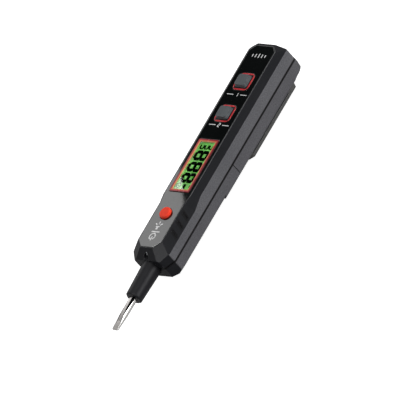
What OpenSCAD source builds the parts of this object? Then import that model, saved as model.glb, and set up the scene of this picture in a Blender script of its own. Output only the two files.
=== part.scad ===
// Non-contact voltage tester: a pen with a screwdriver probe, display, keys, torch and battery bay
// Built along X from the tail to the probe tip, Y across, Z out of the face

/* [Case] */
// Length of the case without the probe
case_l = 125; // [110:0.5:140]
// Width of the case
case_w = 24; // [24:0.5:28]
// Depth of the front half, from the parting plane to the face
front_depth = 9.8; // [9.8:0.1:11]
// Depth of the rear half, from the parting plane to the back
rear_depth = 9.6; // [9.6:0.1:11]
// Wall of the case
wall = 1.3; // [1.2:0.05:1.5]
// Width and drop of the long front edge facets
front_edge = 2.85; // [2:0.05:3.2]
// Width and drop of the long rear edge facets
rear_edge = 3.2; // [2.6:0.05:3.4]
// Length of the battery cover past the end of the battery bay
cover_more = 7.2; // [7.2:0.2:10]
// Gap at the parting plane and at the end of the battery cover
seam = 0.4; // [0.2:0.05:0.45]

/* [Nose and tail] */
// Length over which the front edges widen into the thumb zone
thumb_run = 5; // [4:0.5:7]
// Width of the front edge facets in the thumb zone
thumb_edge = 3.8; // [3.2:0.1:4.2]
// Drop of the front edge facets in the thumb zone
thumb_drop = 4.6; // [3.6:0.1:4.8]
// Length of the tapered nose
nose_l = 5; // [4:0.25:6]
// How far each side comes in over the nose
nose_in = 3.6; // [2.5:0.1:4]
// How far the face comes down over the nose
nose_down = 4; // [3.6:0.1:4.2]
// Length of the rear slope of the nose
heel_l = 8; // [6:0.5:10]
// Rise of the rear slope of the nose
heel_up = 2.7; // [2:0.1:3.2]
// Corner cuts of the face at the tail
face_cut = 3.8; // [3:0.1:4.2]
// Cut along the upright corners of the tail
tail_cut = 1; // [1:0.1:1.3]
// Bevel along the top of the tail
tail_bevel = 0.4; // [0.3:0.05:0.6]

/* [Face] */
// Thickness of the glossy face panel
panel_t = 0.8; // [0.6:0.05:1]
// Rim of the case left around the face panel
panel_rim = 0.4; // [0.3:0.05:0.6]
// Width of the band of the display frame
display_band = 1.4; // [1:0.1:1.6]
// Height of the red display frame above the face
frame_up = 0.3; // [0.2:0.05:0.5]

/* [Keys] */
// Slope of the key sides, measured at the top
key_draft = 0.3; // [0.1:0.05:0.5]
// Height of the keys above the face
key_up = 1.9; // [1.4:0.1:2.2]
// Width of the band of the red key frames
key_band = 1.3; // [1:0.1:1.4]
// Height of the red key frames above the face
ring_up = 0.1; // [0.05:0.05:0.3]
// Diameter of the round button
button_d = 6.2; // [5:0.1:6.6]
// Height of the round button above the face
button_up = 1.5; // [1:0.1:2]

/* [Probe] */
// Exposed length of the insulating sleeve
sleeve_l = 18.6; // [15:0.1:22]
// Diameter of the sleeve at the nose
sleeve_d1 = 9.6; // [9:0.1:9.8]
// Diameter of the sleeve at its end
sleeve_d2 = 8.4; // [7:0.1:9]
// Exposed length of the screwdriver blade
blade_l = 18.4; // [14:0.1:22]
// Diameter of the blade shaft
blade_d = 3.8; // [3:0.1:4]
// Thickness of the blade at its tip
tip_t = 0.8; // [0.6:0.05:1]
// Height of the probe axis above the parting plane
probe_z = 0.6; // [0.2:0.1:0.8]

/* [Pocket clip] */
// Thickness of the clip arm
clip_t = 1.7; // [1.4:0.1:2]
// Width of the clip
clip_w = 15; // [12:0.5:16]
// Clear gap between the clip arm and the back
clip_gap = 1.6; // [1.4:0.1:2]
// Where the clip base starts, from the tail
clip_x = 6.2; // [6.2:0.1:7]
// Where the clip arm ends, from the tail
clip_end = 51.5; // [45:0.5:56]

/* [Power cells] */
// Diameter of a cell, where the case is wide enough for it
cell_most = 10.2; // [10:0.1:10.2]
// Length of a cell with its nub
cell_l = 44.5; // [44:0.1:44.5]

/* [Hidden] */
$fn = 64;
// Overrun of every cut
over = 1;
// Clearance of pieces that are fitted into each other, and of pieces that slide
fit = 0.1;
run = 0.15;

// Battery bay along the case, which gives the length of its cover
bay_x0 = 7;
plate_t = 0.3;
spring_l = 3.6;
bay_x1 = bay_x0 + 2 * plate_t + cell_l + spring_l + fit;
cover_l = bay_x1 + cover_more;

// Places along the face as shares of the case length, and sizes as shares of its length or width
key_a_share = 0.1816;
key_b_share = 0.3312;
display_share = 0.5776;
display_l_share = 0.2464;
thumb_share = 0.716;
button_share = 0.8032;
display_w_share = 0.55;
key_l_share = 0.2833;
key_w_share = 0.3083;
key_a_x = case_l * key_a_share;
key_b_x = case_l * key_b_share;
display_x = case_l * display_share;
display_l = case_l * display_l_share;
thumb_x = case_l * thumb_share;
button_x = case_l * button_share;
display_w = case_w * display_w_share;
key_l = case_w * key_l_share;
key_w = case_w * key_w_share;

// Case outline, worked out from the driving sizes
half_w = case_w / 2;
nose_x = case_l - nose_l;
face_over = 0.4;
face_end = nose_x + face_over;
nose_half = half_w - nose_in;
nose_top = front_depth - nose_down;
heel_x = case_l - heel_l;
// The back behind the ledge lies this much higher
ledge_up = 0.7;
ledge_from_cover = 13;
ledge_x = cover_l + ledge_from_cover;
ledge_run = 0.7;
slim_depth = rear_depth - ledge_up;
// Tail of the rear half: flat, then sloped, then a shoulder under the clip base
tail_flat = 2.5;
tail_lean = 1.3;
tail_mid = 5.6;
tail_back = 7.6;
shoulder_gap = 0.4;
shoulder_x = clip_x - shoulder_gap;
shoulder_run = 0.8;
tail_step = 0.2;
tail_in = tail_step + tail_bevel;
tail_low = 1.3;
face_tail = 1;
nose_wall = 1.6;

// Face layers
panel_z = front_depth - panel_t;
skin = 1.3;
display_r = 0.9;
key_r = 1.3;
opening_more = 0.6;
glass_more = 0.5;
lcd_low_t = 0.9;
lcd_high_t = 0.9;
lcd_step = 1.6;
light_top = panel_z - fit - lcd_high_t - lcd_low_t;
inner_z = panel_z - skin;
face_half = half_w - front_edge;
thumb_half = half_w - thumb_edge;

// Screw bosses of the two halves
boss_d = 4.4;
boss_a_x = 2;
boss_a_in = 5.6;
boss_b_x = 10.5;
boss_b_share = 0.4833;
boss_b_in = half_w * boss_b_share;
boss_places = [[thumb_x + boss_a_x, half_w - boss_a_in], [case_l - boss_b_x, half_w - boss_b_in]];
screw_d = 1.6;
screw_head_d = 3.6;
screw_head_t = 1.2;
screw_slot = 0.5;
screw_slot_l = 2.2;
pilot_d = screw_d + fit;
pilot_stop = 0.4;
screw_l = 9;
screw_reach = 3;
screw_seat = seam + screw_reach - screw_l;

// Posts that hold the board from the front, and the lip that covers the seam from inside
post_d = 2.6;
post_in = 4.6;
post_y = half_w - post_in;
post_a_x = 14;
post_b_gap = 3;
lip_w = 0.6;
lip_down = 0.8;
lip_up = 0.2;
lip_from_cover = 2.2;
lip_from_nose = 2.4;
lip_x0 = cover_l + lip_from_cover;
lip_x1 = nose_x - lip_from_nose;

// Circuit board and what it carries
board_t = 1;
board_z = 3.65;
board_top = board_z + board_t;
board_gap = 1.4;
board_half = half_w - wall - board_gap;
board_x0 = 9;
board_from_nose = 7.4;
board_x1 = case_l - board_from_nose;
hole_gap = 0.2;
switch_s = 6;
switch_h = 1.3;
plunger_d = 2.4;
plunger_up = 0.5;
plunger_in = 0.7;
plunger_top = board_top + switch_h + plunger_up;
flange_t = 0.7;
flange_out = 0.6;
stem_h = 0.2;
stem_d = 3.2;

// Cells and the tray over them
cell_room = 0.5;
cell_d = min(cell_most, half_w - wall - cell_room);
cell_y = cell_d / 2 + fit;
cell_z = -2.9;
nub_d = 3.8;
nub_l = 0.9;
tray_t = 1;
tray_gap = 0.25;
tray_end_t = 1.2;
tray_end_low = 5.7;
tray_far_low = 7.3;
tray_end_in = 3.4;
tray_end_half = half_w - tray_end_in;
tray_z = cell_z + cell_d / 2 + tray_gap;
tray_wall = 0.45;
tray_out = half_w - wall - fit;
rail_out = 0.45;
rail_z0 = -1.2;
rail_z1 = -0.5;
plate_w = 6.8;
plate_h = 7;
plate_short = 1;
spring_wire = 0.5;
spring_turns = 3;
spring_r1 = 3.2;
spring_r2 = 2;

// Pocket clip
clip_back = rear_depth + clip_gap + clip_t;
clip_mid = rear_depth + clip_gap + clip_t / 2;
clip_base_l = 6.3;
clip_axis_x = clip_x + clip_base_l;
clip_foot_r = 1.2;
clip_foot_back = 1.9;
clip_foot_gap = 0.3;
clip_corner = 2.6;
base_step = 0.8;
base_run = 0.9;
base_bed = 0.6;
base_heel = 1.9;

// Probe inside the nose
collar_d = 10.8;
collar_t = 1.6;
collar_top = 4.7;
sleeve_in = 7;
sleeve_end = case_l + sleeve_l;
tip_x = sleeve_end + blade_l;
blade_in = 14;
overall_l = tip_x;

// Torch in the front slope of the nose
led_d = 2.6;
led_z = 7;
led_back = 2.4;
led_x = case_l - led_back;
led_flange_d = 3;
led_body = 4.2;
led_flange_t = 0.8;

// Moves an outline inward by one distance on every side; the points run counter-clockwise
function unit(v) = v / norm(v);
function inward(a, b) = let (d = unit(b - a)) [-d[1], d[0]];
function inset(p, d) = [for (i = [0 : len(p) - 1])
    let (a = p[(i + len(p) - 1) % len(p)],
        b = p[i],
        c = p[(i + 1) % len(p)],
        m = inward(a, b),
        n = inward(b, c))
    b + d * (m + n) / (1 + m * n)];

// Mirrors the points of one half to make a closed outline
function both_sides(p) = concat(p, [for (i = [len(p) - 1 : -1 : 0]) [-p[i][0], p[i][1]]]);

// Case section in Y and Z, with the front facets and the depth of the back as asked
function section(edge, drop, back) = both_sides([
    [half_w - rear_edge, -back],
    [half_w, -back + rear_edge],
    [half_w, front_depth - drop],
    [half_w - edge, front_depth]]);

// Case seen from the front
plan = [
    [case_l, -nose_half],
    [case_l, nose_half],
    [nose_x, half_w],
    [tail_cut, half_w],
    [0, half_w - tail_cut],
    [0, tail_cut - half_w],
    [tail_cut, -half_w],
    [nose_x, -half_w]];

// Case seen from the side, from the tail round by the back
side = [
    [tail_step, front_depth - tail_bevel],
    [tail_step, 0],
    [0, 0],
    [0, -tail_flat],
    [tail_lean, -tail_mid],
    [shoulder_x, -tail_back],
    [shoulder_x + shoulder_run, -rear_depth],
    [ledge_x, -rear_depth],
    [ledge_x + ledge_run, -slim_depth],
    [heel_x, -slim_depth],
    [case_l, -slim_depth + heel_up],
    [case_l, nose_top],
    [face_end, front_depth],
    [tail_in, front_depth]];

// Hollow of the case, seen from the side
hollow_x0 = tail_step + wall;
hollow_x1 = case_l - nose_wall;
hollow_side = [
    [hollow_x0, inner_z],
    [hollow_x0, -tail_mid + wall],
    [shoulder_x, -tail_back + wall],
    [shoulder_x + shoulder_run + wall, -rear_depth + wall],
    [ledge_x - wall, -rear_depth + wall],
    [ledge_x - wall + ledge_run, -slim_depth + wall],
    [heel_x - wall, -slim_depth + wall],
    [hollow_x1, -slim_depth + heel_up + wall],
    [hollow_x1, nose_top - wall / 2],
    [face_end - wall, inner_z]];

// Front outline of the face and of the glossy panel in it
corner_share = 0.35;
corner_in = half_w * corner_share;
face_outline = [
    [face_end, -corner_in],
    [face_end, corner_in],
    [face_end - (thumb_half - corner_in), thumb_half],
    [thumb_x + thumb_run, thumb_half],
    [thumb_x, face_half],
    [tail_in + face_cut, face_half],
    [face_tail, face_half - face_cut + face_tail - tail_in],
    [face_tail, -face_half + face_cut - face_tail + tail_in],
    [tail_in + face_cut, -face_half],
    [thumb_x, -face_half],
    [thumb_x + thumb_run, -thumb_half],
    [face_end - (thumb_half - corner_in), -thumb_half]];

// Places the whole tester: middle of its length on the origin, clip on the ground
module place() {
    translate([-overall_l / 2, 0, clip_back]) children();
}

module along_y(points, width) {
    rotate([90, 0, 0]) linear_extrude(height = width, center = true) polygon(points);
}

module along_x(points, x0, x1) {
    translate([x0, 0, 0]) rotate([90, 0, 90]) linear_extrude(height = x1 - x0) polygon(points);
}

module slab(x0, x1, y0, y1, z0, z1) {
    translate([x0, y0, z0]) cube([x1 - x0, y1 - y0, z1 - z0]);
}

module rod_x(d, x0, x1, y, z) {
    translate([x0, y, z]) rotate([0, 90, 0]) cylinder(h = x1 - x0, d = d);
}

// Upright block with rounded corners
module pad(x, y, l, w, r, z0, z1) {
    translate([x, y, z0]) union() {
        translate([-l / 2 + r, -w / 2, 0]) cube([l - 2 * r, w, z1 - z0]);
        translate([-l / 2, -w / 2 + r, 0]) cube([l, w - 2 * r, z1 - z0]);
        for (i = [-1, 1], j = [-1, 1])
            translate([i * (l / 2 - r), j * (w / 2 - r), 0]) cylinder(h = z1 - z0, r = r, $fn = 32);
    }
}

module at_bosses() {
    for (p = boss_places, s = [-1, 1]) translate([p[0], s * p[1], 0]) children();
}

// Block beyond the plane through three points, which run clockwise seen from outside
module beyond(a, b, c, inside) {
    n = cross(c - a, b - a);
    translate(a) rotate([0, acos(n[2] / norm(n)), atan2(n[1], n[0])])
        translate([-2 * case_w, -2 * case_w, -inside]) cube([4 * case_w, 4 * case_w, case_w]);
}

// Plane facets that take off the front corners of the nose and of the tail
facet_low = 0.8;
module corner_facets(inside) {
    for (s = [0, 1]) mirror([0, s, 0]) {
        beyond([face_end, corner_in, front_depth],
            [face_end - (thumb_half - corner_in), thumb_half, front_depth],
            [case_l, nose_half, nose_top - facet_low], inside);
        beyond([tail_in + face_cut, face_half, front_depth],
            [tail_in, face_half - face_cut, front_depth],
            [tail_low, half_w, front_depth - front_edge], inside);
    }
}

// Takes the front edges down to the wider facets of the thumb zone, where two planes meet
module thumb_cut() {
    x1 = thumb_x + thumb_run;
    lean = over * thumb_edge / thumb_drop;
    for (s = [0, 1]) mirror([0, s, 0]) intersection() {
        beyond([thumb_x, face_half, front_depth], [x1, half_w, front_depth - thumb_drop],
            [x1, thumb_half, front_depth], 0);
        along_x([
            [thumb_half - lean, front_depth + over],
            [half_w + lean, front_depth - thumb_drop - over],
            [half_w + 2 * over, front_depth + over]], thumb_x - thumb_run, case_l + over);
    }
}

// Slanted finger grooves in the facets of the thumb zone
groove_n = 3;
groove_pitch = 5.4;
groove_start = 9.5;
groove_x = thumb_x + groove_start;
groove_l = 3.8;
groove_w = 1.2;
groove_r = 0.5;
groove_deep = 0.5;
groove_slant = 28;
module grip_grooves() {
    fall = atan2(thumb_drop, thumb_edge);
    for (s = [0, 1], i = [0 : groove_n - 1]) mirror([0, s, 0])
        translate([groove_x + i * groove_pitch, half_w - thumb_edge / 2, front_depth - thumb_drop / 2])
            rotate([-fall, 0, 0]) rotate([0, 0, -groove_slant])
                pad(0, 0, groove_w, groove_l, groove_r, -groove_deep, over);
}

// Outer body of the case, before it is split and hollowed
module case_body() {
    difference() {
        intersection() {
            translate([0, 0, -rear_depth - over])
                linear_extrude(height = front_depth + rear_depth + 2 * over) polygon(plan);
            along_y(side, case_w + 2 * over);
            union() {
                along_x(section(front_edge, front_edge, rear_depth), -over, ledge_x + ledge_run);
                along_x(section(front_edge, front_edge, slim_depth), ledge_x, case_l + over);
            }
        }
        thumb_cut();
        corner_facets(0);
    }
}

// Room inside the case, one wall inside the corner facets too
module hollow() {
    difference() {
        intersection() {
            translate([0, 0, -rear_depth])
                linear_extrude(height = rear_depth + inner_z) polygon(inset(plan, wall));
            along_y(hollow_side, case_w);
            along_x(inset(section(thumb_edge, thumb_drop, rear_depth), wall), 0, case_l);
        }
        corner_facets(wall);
    }
}

// Round hole of the probe sleeve through the nose
module sleeve_seat() {
    rod_x(sleeve_d1 + 2 * fit, hollow_x1 - over, case_l + over, 0, probe_z);
}

module front_shell() {
    color([0.17, 0.17, 0.18]) difference() {
        union() {
            difference() {
                intersection() {
                    case_body();
                    slab(-over, case_l + over, -half_w - over, half_w + over, seam / 2, front_depth + over);
                }
                hollow();
            }
            intersection() {
                hollow();
                union() {
                    at_bosses() translate([0, 0, seam]) cylinder(h = inner_z, d = boss_d);
                    for (x = [post_a_x, display_x - display_l / 2 - post_b_gap], s = [-1, 1])
                        translate([x, s * post_y, board_top]) cylinder(h = inner_z, d = post_d);
                    for (s = [0, 1]) mirror([0, s, 0])
                        slab(lip_x0, lip_x1, half_w - wall - lip_w, half_w - wall, seam / 2, board_z);
                }
            }
            for (s = [0, 1]) mirror([0, s, 0])
                slab(lip_x0, lip_x1, half_w - wall - lip_w, half_w - wall - fit, -lip_down, seam / 2 + lip_up);
        }
        translate([0, 0, panel_z]) linear_extrude(height = panel_t + over)
            polygon(inset(face_outline, panel_rim));
        pad(display_x, 0, display_l - 2 * (display_band - opening_more),
            display_w - 2 * (display_band - opening_more), display_r / 3, inner_z - over, panel_z + over);
        for (x = [key_a_x, key_b_x])
            pad(x, 0, key_l + 2 * run, key_w + 2 * run, key_r, inner_z - over, panel_z + over);
        translate([button_x, 0, inner_z - over]) cylinder(h = skin + 2 * over, d = button_d + 2 * run);
        at_bosses() translate([0, 0, -over]) cylinder(h = inner_z - pilot_stop + over, d = pilot_d);
        sleeve_seat();
        rod_x(led_d + 2 * fit, led_x - led_body - over, case_l + over, 0, led_z);
        rod_x(led_flange_d + 2 * fit, led_x - led_body - led_flange_t - 2 * over, led_x - led_body + fit, 0, led_z);
        grip_grooves();
    }
}

module rear_shell() {
    color([0.2, 0.2, 0.21]) difference() {
        union() {
            difference() {
                intersection() {
                    case_body();
                    slab(cover_l + seam / 2, case_l + over, -half_w - over, half_w + over,
                        -rear_depth - over, -seam / 2);
                }
                hollow();
            }
            at_bosses() translate([0, 0, -slim_depth + wall / 2])
                cylinder(h = slim_depth - wall / 2 + seam - fit, d = boss_d);
            intersection() {
                hollow();
                slab(cover_l + seam / 2, cover_l + seam / 2 + wall, -half_w, half_w, -rear_depth, -seam);
            }
        }
        at_bosses() translate([0, 0, -rear_depth - over]) {
            cylinder(h = rear_depth + 3 * over, d = screw_d + 2 * fit);
            cylinder(h = rear_depth + over + screw_seat, d = screw_head_d + 2 * fit);
        }
        sleeve_seat();
    }
}

module battery_cover() {
    color([0.19, 0.19, 0.2]) difference() {
        intersection() {
            case_body();
            slab(-over, cover_l - seam / 2, -half_w - over, half_w + over, -rear_depth - over, -seam / 2);
        }
        hollow();
        for (s = [0, 1]) mirror([0, s, 0])
            slab(bay_x0 - tray_end_t, cover_l + over, half_w - wall - over, tray_out + rail_out + run,
                rail_z0 - run, rail_z1 + run);
    }
}

// Foot of the clip on the battery cover, with a rounded bed for the end of the arm
module clip_base() {
    color([0.16, 0.16, 0.16]) difference() {
        along_y([
            [clip_x + base_step, -rear_depth],
            [clip_x + base_step + base_run, -clip_back],
            [clip_axis_x, -clip_back],
            [clip_axis_x, -clip_mid],
            [clip_axis_x + base_bed, -rear_depth - clip_gap + run],
            [clip_axis_x + base_heel, -rear_depth]], clip_w);
        translate([clip_axis_x, 0, -clip_mid]) rotate([90, 0, 0])
            cylinder(h = clip_w + 2 * over, d = clip_t + 2 * run, center = true);
    }
}

// Springy arm of the clip, with a rounded foot that points at the back
module pocket_clip() {
    color([0.22, 0.22, 0.22]) difference() {
        union() {
            slab(clip_axis_x, clip_end - clip_t / 2, -clip_w / 2, clip_w / 2,
                -clip_back, -clip_back + clip_t);
            for (x = [clip_axis_x, clip_end - clip_t / 2])
                translate([x, 0, -clip_mid]) rotate([90, 0, 0])
                    cylinder(h = clip_w, d = clip_t, center = true);
            translate([clip_end - clip_foot_back, 0, -rear_depth - clip_foot_gap - clip_foot_r])
                rotate([90, 0, 0]) cylinder(h = clip_w, r = clip_foot_r, center = true);
        }
        for (s = [0, 1]) mirror([0, s, 0])
            translate([clip_end, clip_w / 2 - clip_corner, -clip_back - over]) rotate([0, 0, 45])
                translate([0, -clip_w / 2, 0]) cube([clip_w, clip_w, clip_t + clip_gap + 2 * over]);
    }
}

module face_panel() {
    color([0.04, 0.045, 0.045]) difference() {
        translate([0, 0, panel_z]) linear_extrude(height = panel_t)
            polygon(inset(face_outline, panel_rim + fit));
        pad(display_x, 0, display_l + 2 * fit, display_w + 2 * fit, display_r + fit,
            panel_z - over, front_depth + over);
        for (x = [key_a_x, key_b_x])
            pad(x, 0, key_l + 2 * (run + key_band + fit), key_w + 2 * (run + key_band + fit),
                key_r + key_band + fit, panel_z - over, front_depth + over);
        translate([button_x, 0, panel_z - over]) cylinder(h = panel_t + 2 * over, d = button_d + 2 * run);
    }
}

module display_frame() {
    color([0.8, 0.22, 0.2]) difference() {
        pad(display_x, 0, display_l, display_w, display_r, panel_z, front_depth + frame_up);
        pad(display_x, 0, display_l - 2 * display_band, display_w - 2 * display_band, display_r / 2,
            panel_z - over, front_depth + frame_up + over);
    }
}

// Clear cover of the display
window_t = 0.7;
module display_window() {
    color([0.75, 0.9, 0.78]) pad(display_x, 0, display_l - 2 * (display_band + fit),
        display_w - 2 * (display_band + fit), display_r / 2, panel_z, panel_z + window_t);
}

// Display glass: two plates, the upper one shorter at the row of contacts
glass_l = display_l - 2 * (display_band - glass_more);
glass_w = display_w - 2 * (display_band - glass_more);
module lcd_glass() {
    color([0.35, 0.8, 0.25]) union() {
        pad(display_x, 0, glass_l, glass_w, display_r / 3, light_top, light_top + lcd_low_t);
        pad(display_x, 0, glass_l - lcd_step, glass_w, display_r / 3,
            light_top + lcd_low_t, panel_z - fit);
    }
}

module backlight() {
    color([0.9, 0.95, 0.9]) pad(display_x, 0, glass_l, glass_w, display_r / 3, board_top, light_top);
}

module key_frames() {
    color([0.75, 0.15, 0.18]) for (x = [key_a_x, key_b_x]) difference() {
        pad(x, 0, key_l + 2 * (run + key_band), key_w + 2 * (run + key_band), key_r + key_band,
            panel_z, front_depth + ring_up);
        pad(x, 0, key_l + 2 * run, key_w + 2 * run, key_r, panel_z - over, front_depth + ring_up + over);
    }
}

dish_r = 30;
dish_deep = 0.2;
// Square key: a cap with leaning sides, a flange that keeps it in the case and a stem
module key(x) {
    z0 = plunger_top + stem_h;
    difference() {
        union() {
            pad(x, 0, key_l, key_w, key_r - fit, z0, front_depth + key_up / 4);
            pad(x, 0, key_l - key_draft, key_w - key_draft, key_r - fit,
                front_depth, front_depth + 5 * key_up / 8);
            pad(x, 0, key_l - 2 * key_draft, key_w - 2 * key_draft, key_r - fit,
                front_depth, front_depth + key_up);
            pad(x, 0, key_l + 2 * flange_out, key_w + 2 * flange_out, key_r, z0, z0 + flange_t);
            translate([x, 0, plunger_top]) cylinder(h = flange_t, d = stem_d);
        }
        translate([x, 0, front_depth + key_up - dish_deep + dish_r]) sphere(r = dish_r, $fn = 96);
    }
}

module upper_key() {
    color([0.4, 0.42, 0.44]) key(key_a_x);
}

module lower_key() {
    color([0.4, 0.42, 0.44]) key(key_b_x);
}

module torch_button() {
    crown = 0.5;
    color([0.93, 0.26, 0.16]) translate([button_x, 0, 0]) rotate_extrude() polygon([
        [0, plunger_top],
        [stem_d / 2, plunger_top],
        [stem_d / 2, plunger_top + stem_h],
        [button_d / 2 + flange_out, plunger_top + stem_h],
        [button_d / 2 + flange_out, plunger_top + stem_h + flange_t],
        [button_d / 2, plunger_top + stem_h + flange_t],
        [button_d / 2, front_depth + button_up - crown],
        [button_d / 2 - crown / 3, front_depth + button_up - crown / 3],
        [button_d / 2 - crown, front_depth + button_up],
        [0, front_depth + button_up]]);
}

module plunger(x) {
    translate([x, 0, plunger_top - plunger_up - plunger_in])
        cylinder(h = plunger_up + plunger_in, d = plunger_d);
}

module upper_key_plunger() {
    color("black") plunger(key_a_x);
}

module lower_key_plunger() {
    color("black") plunger(key_b_x);
}

module torch_plunger() {
    color("black") plunger(button_x);
}

module tact_switches() {
    color([0.7, 0.71, 0.72]) for (x = [key_a_x, key_b_x, button_x]) difference() {
        translate([x - switch_s / 2, -switch_s / 2, board_top]) cube([switch_s, switch_s, switch_h]);
        translate([x, 0, board_top + fit]) cylinder(h = switch_h + over, d = plunger_d + 2 * fit);
    }
}

module circuit_board() {
    neck_l = 9.4;
    neck_x = board_x1 - neck_l;
    neck = 3.4;
    color([0.1, 0.4, 0.2]) difference() {
        translate([0, 0, board_z]) linear_extrude(height = board_t) polygon([
            [board_x0, -board_half],
            [neck_x, -board_half],
            [board_x1, -board_half + neck],
            [board_x1, board_half - neck],
            [neck_x, board_half],
            [board_x0, board_half]]);
        at_bosses() translate([0, 0, board_z - over])
            cylinder(h = board_t + 2 * over, d = boss_d + 2 * hole_gap);
    }
}

module controller_chip() {
    chip_s = 7;
    chip_t = 1;
    chip_from_thumb = 5;
    color([0.1, 0.1, 0.1]) translate([thumb_x + chip_from_thumb, -chip_s / 2, board_z - chip_t])
        cube([chip_s, chip_s, chip_t]);
}

// Rows of small parts on the lower side of the board
module small_components() {
    part_l = 2;
    part_w = 1.25;
    part_t = 0.6;
    part_in = 5.6;
    part_y = half_w - part_in;
    part_n = 5;
    part_from_cover = 2;
    part_pitch_share = 0.1633;
    part_pitch = (thumb_x - cover_l - part_from_cover) * part_pitch_share;
    color([0.55, 0.5, 0.42]) for (i = [0 : part_n - 1], s = [-1, 1])
        translate([cover_l + part_from_cover + i * part_pitch, s * part_y - part_w / 2, board_z - part_t])
            cube([part_l, part_w, part_t]);
}

module buzzer() {
    buzzer_d_share = 0.375;
    buzzer_d = case_w * buzzer_d_share;
    buzzer_h = 4;
    buzzer_hole = 2;
    buzzer_lid = 0.8;
    buzzer_from_cover = 6;
    buzzer_x = cover_l + buzzer_from_cover;
    color([0.12, 0.12, 0.13]) difference() {
        translate([buzzer_x, 0, board_z - buzzer_h]) cylinder(h = buzzer_h, d = buzzer_d);
        translate([buzzer_x, 0, board_z - buzzer_h - over]) cylinder(h = over + buzzer_lid, d = buzzer_hole);
    }
}

module torch_led() {
    color([0.92, 0.93, 0.95]) union() {
        rod_x(led_d, led_x - led_body, led_x - led_d / 2, 0, led_z);
        rod_x(led_flange_d, led_x - led_body - led_flange_t, led_x - led_body, 0, led_z);
        intersection() {
            translate([led_x - led_d / 2, 0, led_z]) sphere(d = led_d);
            slab(led_x - led_d / 2, led_x + over, -led_d, led_d, led_z - led_d, led_z + led_d);
        }
    }
}

// Screwdriver blade: a round shaft whose end is ground flat on two sides
grind_share = 0.78;
grind_x_shares = [0.32, 0.66];
grind_z_shares = [0.36, 0.76];
blade_knurl_d = 5.2;
blade_knurl_l = 2;
tip_corner = 0.5;
module probe_blade() {
    grind_l = blade_l * grind_share;
    flat_x = tip_x - grind_l;
    grind = (blade_d - tip_t) / 2;
    color([0.78, 0.78, 0.78]) difference() {
        union() {
            rod_x(blade_d, case_l - blade_in, tip_x, 0, probe_z);
            rod_x(blade_knurl_d, case_l - blade_in + blade_knurl_l / 2,
                case_l - blade_in + 3 * blade_knurl_l / 2, 0, probe_z);
        }
        for (s = [0, 1]) translate([0, 0, probe_z]) mirror([0, 0, s]) along_y([
            [flat_x, blade_d / 2],
            [flat_x + grind_x_shares[0] * grind_l, blade_d / 2 - grind_z_shares[0] * grind],
            [flat_x + grind_x_shares[1] * grind_l, blade_d / 2 - grind_z_shares[1] * grind],
            [tip_x, tip_t / 2],
            [tip_x + over, tip_t / 2],
            [tip_x + over, blade_d],
            [flat_x, blade_d]], 2 * blade_d);
        for (s = [0, 1]) mirror([0, s, 0])
            translate([tip_x, blade_d / 2 - tip_corner, probe_z - blade_d]) rotate([0, 0, 45])
                translate([0, -blade_d / 2, 0]) cube([blade_d, blade_d, 2 * blade_d]);
    }
}

// Insulating sleeve round the blade, held in the nose by a collar that is flat at the front
module probe_sleeve() {
    lip = 0.6;
    color([0.12, 0.12, 0.13]) difference() {
        union() {
            translate([0, 0, probe_z]) rotate([0, 90, 0]) rotate_extrude() polygon([
                [0, case_l - sleeve_in],
                [sleeve_d1 / 2, case_l - sleeve_in],
                [sleeve_d1 / 2, case_l],
                [sleeve_d2 / 2, sleeve_end - lip],
                [sleeve_d2 / 2 - lip, sleeve_end],
                [0, sleeve_end]]);
            intersection() {
                rod_x(collar_d, hollow_x1 - fit - collar_t, hollow_x1 - fit, 0, probe_z);
                slab(0, case_l, -case_w, case_w, -case_w, collar_top);
            }
        }
        rod_x(blade_d + 2 * fit, case_l - sleeve_in - over, sleeve_end + over, 0, probe_z);
        slab(0, hollow_x1 - fit - collar_t, -case_w, case_w, collar_top, case_w);
    }
}

// Spring strip that joins the blade to the board
module probe_contact() {
    strip_w_share = 0.3571;
    strip_w = nose_half * strip_w_share;
    strip_t = 0.3;
    strip_l = 1.6;
    pad_l = 2;
    x0 = case_l - blade_in + 2 * blade_knurl_l;
    top = probe_z + blade_d / 2;
    color([0.85, 0.7, 0.4]) along_y([
        [x0, top],
        [x0 + strip_l, top],
        [x0 + strip_l, top + strip_t],
        [x0 + strip_t, top + strip_t],
        [x0 + strip_t, board_z - strip_t],
        [x0 + pad_l, board_z - strip_t],
        [x0 + pad_l, board_z],
        [x0, board_z]], strip_w);
}

// Copper angles behind the nose that sense the field
module sense_plate() {
    plate_l = 4;
    plate_h = 2.4;
    sheet_t = 0.4;
    y0_share = 0.2143;
    foot_w_share = 0.2024;
    y0 = nose_half * y0_share;
    foot_w = nose_half * foot_w_share;
    plate_x = board_x1 - plate_l;
    color([0.8, 0.5, 0.3]) for (s = [0, 1]) mirror([0, s, 0]) union() {
        slab(plate_x, plate_x + plate_l, y0, y0 + foot_w, board_z - sheet_t, board_z);
        slab(plate_x, plate_x + plate_l, y0 + foot_w - sheet_t, y0 + foot_w, board_z - plate_h, board_z);
    }
}

// Power cell with its nub toward the tip or toward the tail
module cell(x, y, turned) {
    body_l = cell_l - nub_l;
    edge = 0.4;
    translate([x, y, cell_z]) rotate([0, 90, 0]) rotate_extrude() polygon(turned
        ? [[0, 0], [nub_d / 2, 0], [nub_d / 2, nub_l], [cell_d / 2 - edge, nub_l],
            [cell_d / 2, nub_l + edge], [cell_d / 2, cell_l - edge], [cell_d / 2 - edge, cell_l], [0, cell_l]]
        : [[0, 0], [cell_d / 2 - edge, 0], [cell_d / 2, edge], [cell_d / 2, body_l - edge],
            [cell_d / 2 - edge, body_l], [nub_d / 2, body_l], [nub_d / 2, cell_l], [0, cell_l]]);
}

module cell_left() {
    color([0.2, 0.35, 0.5]) cell(bay_x0 + plate_t + fit / 2, -cell_y, true);
}

module cell_right() {
    color([0.2, 0.35, 0.5]) cell(bay_x0 + plate_t + fit / 2 + spring_l, cell_y, false);
}

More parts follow.
